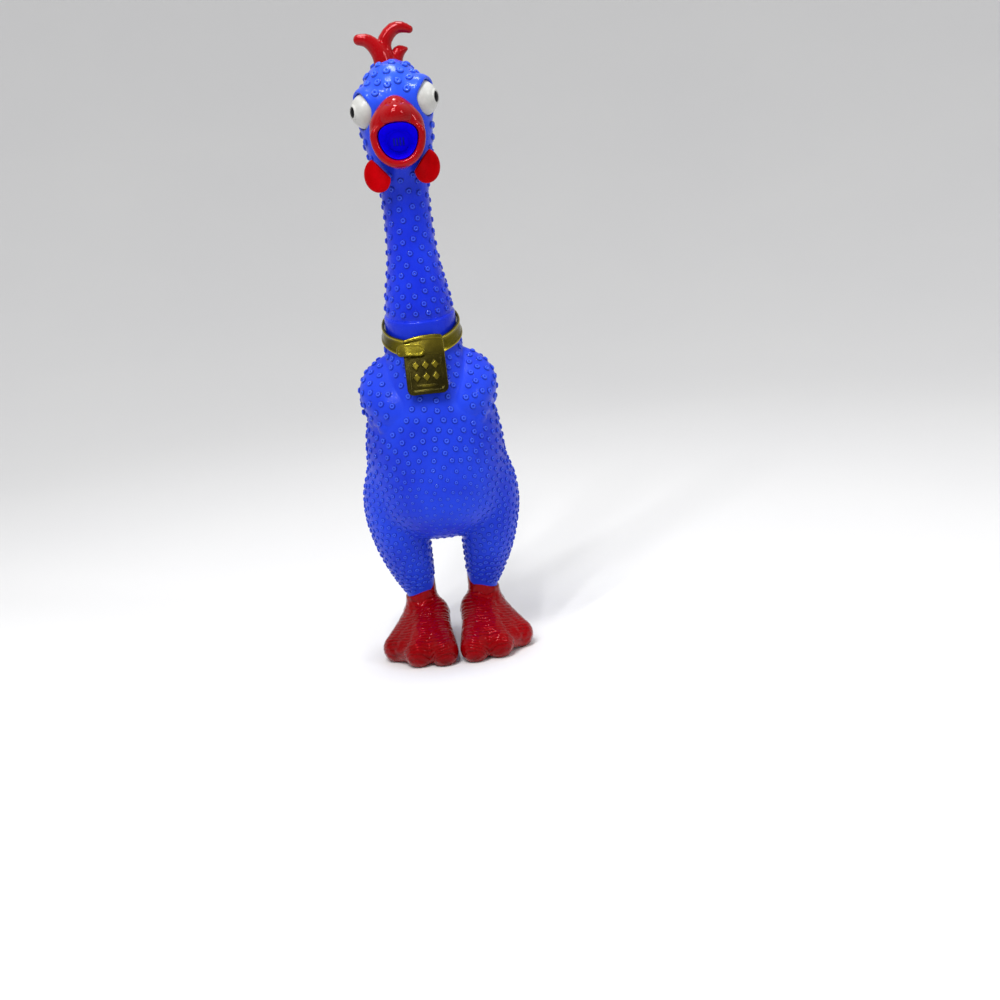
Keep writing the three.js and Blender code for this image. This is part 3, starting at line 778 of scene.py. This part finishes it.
def beak(p):
    pinch = 1 + 0.3 * smooth_step(p[:, 2], 704, 740)
    ahead = np.column_stack([p[:, 0] * pinch, p[:, 2], -p[:, 1]])
    shape = loft(ahead, BEAK) / pinch
    hood = ellipsoid(p, (0, -47, 709.5), (25.5, 28.5, 20.5))
    crest = finger(p, (1.5, -40, 729), (0, -66, 713), 7, 9)
    shape = smooth_union(shape, smooth_union(hood, crest, 9), 3)
    lip = np.minimum.reduce([
        finger(p, LIP[i], LIP[i + 1], LIP_R[i], LIP_R[i + 1]) for i in range(len(LIP) - 1)
    ])
    shape = smooth_union(shape, lip, 1.6)
    nostril = finger(sided(p), (7, -68, 724.5), (10.5, -62, 726.5), 0.7, 1.2)
    shape = smooth_cut(shape, nostril, 1.5)
    return smooth_cut(shape, cavity(p), 2)


COMB_PRONGS = [
    ([(-7, 0, 770), (-9.5, 0, 786), (-16, 0, 798.5), (-25, -1, 806.5), (-34.8, -2, 808.5)],
     (12, 11, 9.8, 8.4, 6.9)),
    ([(2, 4, 770), (-4, 4, 791), (-2, 5, 806), (9, 5, 817.5), (20, 4.5, 819), (29.5, 4, 815.5)],
     (10, 9.4, 9.0, 8.2, 7.0, 5.0)),
    ([(7, 8, 770), (9.5, 9, 783), (14.0, 10, 790.5), (23, 10, 793)], (8.5, 8.6, 7.8, 2.6)),
]


def comb(p):
    parts = [bent_finger(p, points, radii) for points, radii in COMB_PRONGS]
    return smooth_union(smooth_union(parts[0], parts[1], 1.8), parts[2], 1.5)


def wattle(q):
    """A flat lobe beside the jaw, cut straight along its upper inner edge, on the left half."""
    lean = 0.35
    r = q - [32.5, -41, 645.0]
    across = r[:, 0] * math.cos(lean) + r[:, 1] * math.sin(lean)
    deep = r[:, 1] * math.cos(lean) - r[:, 0] * math.sin(lean)
    leaf = ellipsoid(np.column_stack([across, deep, r[:, 2]]), (-2, 0, -0.5), (19, 7.5, 21.5))
    flat = np.abs(deep + 0.012 * across**2) - 3.2
    straight = 0.69 * (r[:, 2] - 13.5) - 0.72 * (across + 1.5)
    return smooth_meet(smooth_meet(leaf, flat, 2.5), straight, 1.4)


def simple_skin(name, field, low, high, material):
    points, quads = surface(field, low, high, TRIM_CELL)
    return mesh_piece(name, points, quads.tolist(), material, unit(gradient(field, points)))


def make_wattles():
    low, high = (8, -62, 618), (58, -22, 674)
    points, quads = surface(wattle, low, high, TRIM_CELL)
    normals = unit(gradient(wattle, points))
    rise = np.array([0, 0, WATTLE_ASKEW])
    left = mesh_piece("wattle_skin_left", points + rise, quads.tolist(), WATTLE_RED, normals)
    other, faces = mirrored(points, quads.tolist())
    right = mesh_piece("wattle_skin_right", other - rise, faces, WATTLE_RED, normals * [-1, 1, 1])
    return left, right


def make_mouth():
    """The lining: rows from just inside the lip back to the squeaker's round cover, with soft folds."""
    turn = np.linspace(0, 2 * np.pi, 72, endpoint=False)
    wide, tall = mouth_outline(turn)
    rows = []
    for step in np.linspace(0, 1, 26):
        depth = MOUTH_RIM + (MOUTH_BACK - MOUTH_RIM) * min(step / 0.8, 1)
        size = mouth_size(depth)
        x = wide * MOUTH_W * (1 + MOUTH_EGG * tall) * size
        z = MOUTH_Z + tall * MOUTH_H * size
        inward = smooth_step(step, 0.78, 1.0)
        x = x * (1 - inward) + np.sin(turn) * CAP_R * inward
        z = z * (1 - inward) + (CAP_Z + np.cos(turn) * CAP_R) * inward
        fold = 0.3 * np.sin(turn * 9 + step * 5) * math.sin(math.pi * step)
        scale = 1 - (0.9 - fold) / 22
        row = [x * scale, np.full(len(turn), depth), MOUTH_Z + (z - MOUTH_Z) * scale]
        rows.append(np.column_stack(row))
    points, faces = rings(rows)
    return mesh_piece("mouth_skin", points, faces, MOUTH_BLUE)


def turned_about_gaze(profile, side, steps=56):
    """Points turned about an eye's gaze, from pairs of distance from the axis and distance along it."""
    turn = np.linspace(0, 2 * np.pi, steps, endpoint=False)
    gaze = np.array([side * math.sin(GAZE), -math.cos(GAZE), 0])
    across = np.array([math.cos(GAZE), side * math.sin(GAZE), 0])
    centre = EYE * [side, 1, 1] + [0, 0, side * EYE_ASKEW]
    rows = []
    for away, along in profile:
        ring = np.cos(turn)[:, None] * across + np.sin(turn)[:, None] * [0, 0, 1.0]
        rows.append(centre + gaze * along + ring * away)
    points, faces = rings(rows)
    tip = len(points)
    points = np.vstack([points, centre + gaze * profile[-1][1]])
    last = (len(rows) - 1) * steps
    faces += [[last + a, last + (a + 1) % steps, tip] for a in range(steps)]
    return points, (faces if side == LEFT else [f[::-1] for f in faces])


def make_eye(side, name):
    """A white ball with a raised ring round the pupil, and the domed black pupil inside the ring."""
    white, black = [], []
    for angle in np.linspace(math.radians(112), math.radians(1), 64):
        in_ring = smooth_step(-angle, -RING_ANGLE - 0.03, -RING_ANGLE + 0.05)
        below = smooth_step(-angle, -PUPIL_ANGLE - 0.02, -PUPIL_ANGLE + 0.03)
        r = EYE_R + 0.9 * in_ring - 1.2 * below
        white.append((r * math.sin(angle), r * math.cos(angle)))
    pupil_edge = PUPIL_ANGLE + 0.012
    for angle in np.linspace(pupil_edge, 0.01, 18):
        r = EYE_R - 0.6 + 1.5 * math.sqrt(max(0.0, 1 - (angle / pupil_edge) ** 2))
        black.append((r * math.sin(angle), r * math.cos(angle)))
    eye = mesh_piece(f"eye_skin_{name}", *turned_about_gaze(white, side), EYE_WHITE)
    pupil = mesh_piece(f"pupil_skin_{name}", *turned_about_gaze(black, side), EYE_BLACK)
    return eye, pupil


# ---- feet ----
# Each toe: root and tip from the ankle's axis, and the radius at each; the inner side is -x.
TOES = [
    ((-9, -7, 42), (-22.5, -83.5, 16.5), 24, 20),
    ((0, -6, 41), (10.5, -77.5, 17), 24.5, 20),
    ((6, -2, 39), (39.5, -46, 16.5), 24, 20),
]

# The flesh between them, which leaves only the toes' ends apart.
WEBS = [
    ((-10, -8, 47), (-8, -72, 19), 26, 18.5),
    ((-1, -6, 46), (0, -62, 25), 25, 20.5),
    ((4, -4, 44), (25, -59, 19), 24.5, 18.5),
]


def wrinkles(p):
    """Depth of the folds that run across the foot and the toes, 0 on the crests and 1 in the valleys."""
    reach = np.linalg.norm(p - [0, 6, 84], axis=1)
    wander = ripple(p, 34, 11) * 2.6 + ripple(p, 13, 12) * 0.9
    wave = np.abs(np.sin((reach + wander) * np.pi / WRINKLE_GAP))
    strength = 0.75 + 0.4 * ripple(p, 22, 13)
    return (1 - np.sqrt(wave)) * np.clip(strength, 0.2, 1.1)


def below_brim(p):
    """How far under the paint's edge, measured about the ankle's axis."""
    return BRIM_Z - BRIM_SLOPE * p[:, 0] + BRIM_TILT * p[:, 1] - p[:, 2]


def bare_foot(p):
    toes = [finger(p, *toe) for toe in TOES]
    webs = [finger(p, *web) for web in WEBS]
    paw = smooth_union(smooth_union(toes[0], toes[1], 4), toes[2], 4)
    paw = smooth_union(paw, np.minimum.reduce(webs), 7)
    heel = finger(p, (-1, 0, 44), (-1, 16, 15.5), 23, 19.5)
    leg = finger(p, (0, 0, 50), (0, 0, 100), 22.5, 21)
    shape = smooth_union(smooth_union(paw, heel, 6), leg, 7)
    return smooth_meet(shape, -below_brim(p), 1.6)


def foot(p):
    fade = smooth_step(p[:, 2], 3, 12) * smooth_step(below_brim(p), 3, 9)
    folded = bare_foot(p) + WRINKLE_DEPTH * wrinkles(p) * fade - SKIN_RIPPLE * ripple(p, 9, 21)
    return smooth_meet(folded, 0.2 - p[:, 2], 1.6)


def make_feet():
    points, quads = surface(foot, (-50, -108, -3), (64, 42, 104), FOOT_CELL)
    normals = unit(gradient(foot, points))
    # Painted shade in the wrinkles' valleys and a faint painted highlight on their crests.
    relief = np.clip(0.35 - wrinkles(points) * 1.25, -1, 0.3)
    feet = {}
    for name, side in (("left", LEFT), ("right", RIGHT)):
        mirror = np.array([side, 1, 1])
        faces = quads if side == LEFT else quads[:, ::-1]
        feet[name] = mesh_piece(
            f"foot_skin_{name}", points * mirror + ANKLE * [side, 1, 0], faces.tolist(), FOOT_RED,
            normals * mirror, relief,
        )
    return feet


# ---- collar, plate and strap end ----
# The band's section with a rolled rim along each edge: share of its half-height, and distance outwards.
BAND_SECTION = [
    (-1.0, 0.3), (-1.0, 2.6), (-0.93, 3.3), (-0.82, 3.3), (-0.74, 2.5), (-0.4, 2.3), (0.0, 2.2),
    (0.4, 2.3), (0.74, 2.5), (0.82, 3.3), (0.93, 3.3), (1.0, 2.6), (1.0, 0.3), (0.5, 0.0), (-0.5, 0.0),
]
BAND_STEPS = 200


def make_band():
    """A slightly wavy ribbon, deeper in front, that leans in towards the neck above."""
    rows = []
    for a in np.arange(BAND_STEPS) * 2 * np.pi / BAND_STEPS:
        away = np.array([math.sin(a), -math.cos(a), 0.0])
        half = BAND_HALF + BAND_FRONT * max(math.cos(a), 0) + 0.25 * math.sin(7 * a)
        centre = np.array([BAND_ACROSS * math.sin(a), -BAND_DEEP * math.cos(a) - BAND_BACK, 0.0])
        row = []
        for tall, out in BAND_SECTION:
            spot = centre + away * (out + 0.3 * math.sin(5 * a + 1))
            lean = -0.3 * tall * half
            height = COLLAR_Z + COLLAR_SLOPE * spot[1] + tall * half
            row.append([spot[0] + away[0] * lean * 0.4, spot[1] + away[1] * lean * 0.4, height])
        rows.append(np.array(row))
    rows.append(rows[0])
    points, faces = rings(rows)
    # The rolled rims get a painted highlight.
    raised_highlight = np.tile([1.0 if out > 3 else 0.0 for _, out in BAND_SECTION], BAND_STEPS + 1)
    return mesh_piece("collar_band_skin", points, faces, GOLD, relief=raised_highlight)


PLATE_LENGTH, PLATE_HALF = 78.0, 26.5
PLATE_TOP = np.array([0.0, -60.5, 438.0])
PLATE_TILT = 0.4
PLATE_DOWN = np.array([0.0, -math.sin(PLATE_TILT), -math.cos(PLATE_TILT)])
PLATE_OUT = np.array([0.0, -math.cos(PLATE_TILT), math.sin(PLATE_TILT)])


def rounded_box(p, centre, half, corner, edge):
    """A slab with round corners in its plane and softened edges."""
    q = np.abs(p - centre) - half
    flat = np.hypot(np.maximum(q[:, 0] + corner, 0), np.maximum(q[:, 1] + corner, 0)) - corner
    flat = np.where(np.maximum(q[:, 0], q[:, 1]) < -corner, np.maximum(q[:, 0], q[:, 1]), flat)
    return smooth_meet(flat, q[:, 2], edge)


def plate(p):
    """In the plate's own space: across, down, and out. Plain raised lozenges in a sunk panel."""
    bowed = p.copy()
    swell = np.sin(np.clip(p[:, 1], 0, PLATE_LENGTH) / PLATE_LENGTH * np.pi)
    bowed[:, 2] = p[:, 2] + 2.6 * (p[:, 0] / PLATE_HALF) ** 2 - 0.8 * swell
    bowed[:, 1] = p[:, 1] - 0.003 * (p[:, 0] - 11) ** 2 * (1 - smooth_step(p[:, 1], 4, 26))
    middle = PLATE_LENGTH / 2
    slab = rounded_box(bowed, (0, middle, 1.6), (PLATE_HALF, middle, 1.7), 9, 1.2)
    slab = smooth_cut(slab, rounded_box(bowed, (0, 49.5, 4.2), (20.5, 23.5, 1.7), 5, 1.0), 0.9)
    side = sided(bowed)
    lozenges = []
    for x in (0, 12.5):
        for y in (40.5, 56.0):
            slant = np.abs(side[:, 0] - x) / 4.6 + np.abs(side[:, 1] - y) / 5.8 - 1
            lozenges.append(smooth_meet(slant * 3.6, side[:, 2] - 4.7, 0.7))
    bar = rounded_box(bowed, (0, 67.6, 3.0), (12.5, 1.6, 1.0), 1.5, 0.7)
    slab = smooth_union(slab, np.minimum.reduce([*lozenges, bar]), 0.8)
    keeper = rounded_box(bowed, (0, 3.2, 3.0), (25.0, 2.2, 1.9), 2, 1.2)
    return smooth_union(slab, keeper, 2)


def strap_end(p):
    """The free end of the strap, laid over the plate's upper corner, in the plate's space."""
    bent = p.copy()
    bent[:, 2] = p[:, 2] + 0.02 * np.maximum(-p[:, 0] - 16, 0) ** 2
    bent[:, 1] = p[:, 1] - 0.1 * p[:, 0]
    strap = rounded_box(bent, (-17, 21, 5.9), (18, 8.2, 1.5), 6.5, 1.2)
    groove = rounded_box(bent, (-17, 21, 7.6), (15, 5.4, 0.7), 4, 0.6)
    return smooth_cut(strap, groove, 0.8)


def plate_piece(name, field, low, high, face, material):
    """A piece made in the plate's space. Its relief paints a highlight where it stands above its face and
    near its top.
    """
    points, quads = surface(field, low, high, 0.8)
    normals = unit(gradient(field, points))
    # Painted highlight: the upper part is lighter, as if lit from above.
    top_highlight = 0.55 * (1 - smooth_step(points[:, 1], 8, 32))
    relief = np.clip(points[:, 2] - face, 0, 1 - top_highlight) + top_highlight
    basis = np.array([[1.0, 0, 0], PLATE_DOWN, PLATE_OUT])
    faces = quads[:, ::-1]  # the plate's space is mirrored
    return mesh_piece(name, points @ basis + PLATE_TOP, faces.tolist(), material, normals @ basis, relief)


# ---- build, and tie each piece to its body ----
def soften(piece):
    """The piece's placement, baked into its mesh."""
    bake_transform(piece)


def build():
    skins = make_trunk()
    skins.update(make_head())
    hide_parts("body_shell", "belly_wall")
    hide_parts("neck_shell")
    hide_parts("head_shell")
    soften(skins["torso_skin"])
    soften(skins["neck_skin"])
    soften(skins["head_skin"])

    feet = make_feet()
    for name, side, body in (("left", LEFT, "left_foot"), ("right", RIGHT, "right_foot")):
        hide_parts(f"foot_{name}")
        soften(skins[f"leg_skin_{name}"])
        soften(feet[name])

    ride_on_head = {
        "comb": simple_skin("comb_skin", comb, (-44, -16, 760), (44, 24, 832), COMB_RED),
        "beak": simple_skin("beak_skin", beak, (-42, -86, 640), (42, -18, 746), COMB_RED),
        "mouth_lining": make_mouth(),
    }
    ride_on_head["wattle_left"], ride_on_head["wattle_right"] = make_wattles()
    for name, side in (("left", LEFT), ("right", RIGHT)):
        ride_on_head[f"eye_{name}"], ride_on_head[f"pupil_{name}"] = make_eye(side, name)
    for node, piece in ride_on_head.items():
        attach(piece, "head")
        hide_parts(node)

    for node, piece in (
        ("collar_band", make_band()),
        ("collar_tag", plate_piece("collar_tag_skin", plate, (-30, -4, -5), (30, 82, 8), 3.9, TAG_GOLD)),
        (
            "collar_strap_end",
            plate_piece("collar_strap_end_skin", strap_end, (-40, -4, -8), (6, 30, 10), 7.6, GOLD),
        ),
    ):
        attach(piece, "collar")
        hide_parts(node)

    for node, material in (
        ("squeaker_housing", CLEAR), ("squeaker_reed_bed", CLEAR), ("squeaker_reed_clamp", CLEAR),
        ("squeaker_reed", BRASS), ("squeaker_cap", MOUTH_BLUE),
    ):
        frame["nodes"][node].data.materials.clear()
        frame["nodes"][node].data.materials.append(material)


# ---- stage ----
CAMERA_PLACE = Vector((0.005, -1.8, 0.648))  # metres, as everything on the stage is
CAMERA_AIM = Vector((0.0789, 0.0, 0.1963))
CAMERA_ROLL = math.radians(6.23)
CAMERA_LENS = 48.96
FLAT_R, BOWL_R, BOWL_SIDES = 1.8, 3.4, 96
KEY_STRIPS, KEY_GAP = (-1, 0, 1), 0.4  # three tall strips side by side


def aimed(place, aim):
    """A lamp's or camera's place in the world, looking at a point."""
    return Matrix.Translation(place) @ (aim - place).to_track_quat("-Z", "Y").to_matrix().to_4x4()


def make_camera():
    data = bpy.data.cameras.new("camera")
    data.lens = CAMERA_LENS
    data.sensor_width = 36
    camera = bpy.data.objects.new("camera", data)
    bpy.context.scene.collection.objects.link(camera)
    camera.matrix_world = aimed(CAMERA_PLACE, CAMERA_AIM) @ Matrix.Rotation(-CAMERA_ROLL, 4, "Z")
    bpy.context.scene.camera = camera


def make_light(name, place, aim, size, power):
    data = bpy.data.lights.new(name, "AREA")
    data.shape = "RECTANGLE"
    data.size, data.size_y = size
    data.energy = power
    lamp = bpy.data.objects.new(name, data)
    bpy.context.scene.collection.objects.link(lamp)
    lamp.matrix_world = aimed(Vector(place), Vector(aim))


def make_stage():
    """A pale paper bowl, flat under the feet, that rises without an edge behind the camera too."""
    profile = [(0.02, 0.0), (0.6, 0.0), (1.2, 0.0), (FLAT_R, 0.0)]
    for a in np.linspace(0.06, 1.5, 26):
        profile.append((FLAT_R + BOWL_R * math.sin(a), BOWL_R - BOWL_R * math.cos(a)))
    turn = np.linspace(0, 2 * np.pi, BOWL_SIDES, endpoint=False)
    rows = [
        np.column_stack([away * np.cos(turn), away * np.sin(turn), np.full(BOWL_SIDES, height)])
        for away, height in profile
    ]
    points, faces = rings(rows)
    faces.append(list(range(BOWL_SIDES))[::-1])
    mesh = bpy.data.meshes.new("floor")
    mesh.from_pydata(points.tolist(), [], faces)
    mesh.polygons.foreach_set("use_smooth", np.ones(len(mesh.polygons), bool))
    n = Nodes("floor_paper")
    colour = n.blend(n.noise(1.5, 2), (0.78, 0.78, 0.79, 1), (0.82, 0.82, 0.82, 1))
    rough = n.ramp(n.noise(20, 2), 0, 1, 0.7, 0.8)
    mesh.materials.append(n.finish(colour, rough, n.bump(n.noise(300), 0.0001)))
    floor = bpy.data.objects.new("floor", mesh)
    bpy.context.scene.collection.objects.link(floor)
    world = bpy.data.worlds.new("studio")
    world.use_nodes = True
    sky = world.node_tree.nodes["Background"]
    sky.inputs["Color"].default_value = (1, 1, 1, 1)
    sky.inputs["Strength"].default_value = 0.54
    bpy.context.scene.world = world
    bpy.context.scene.view_settings.view_transform = "Standard"
    for i in KEY_STRIPS:
        place = (-0.6 + KEY_GAP * i, -1.35, 2.6)
        make_light(f"key_{i + 2}", place, (0, 0, 0.45), (0.09, 1.3), 20)
    make_light("side", (1.6, -1.0, 1.5), (0, 0, 0.5), (0.25, 0.5), 7)
    make_light("top", (0.1, 0.2, 2.5), (0, 0, 0.6), (0.6, 0.4), 17)


make_camera()
make_stage()
build()
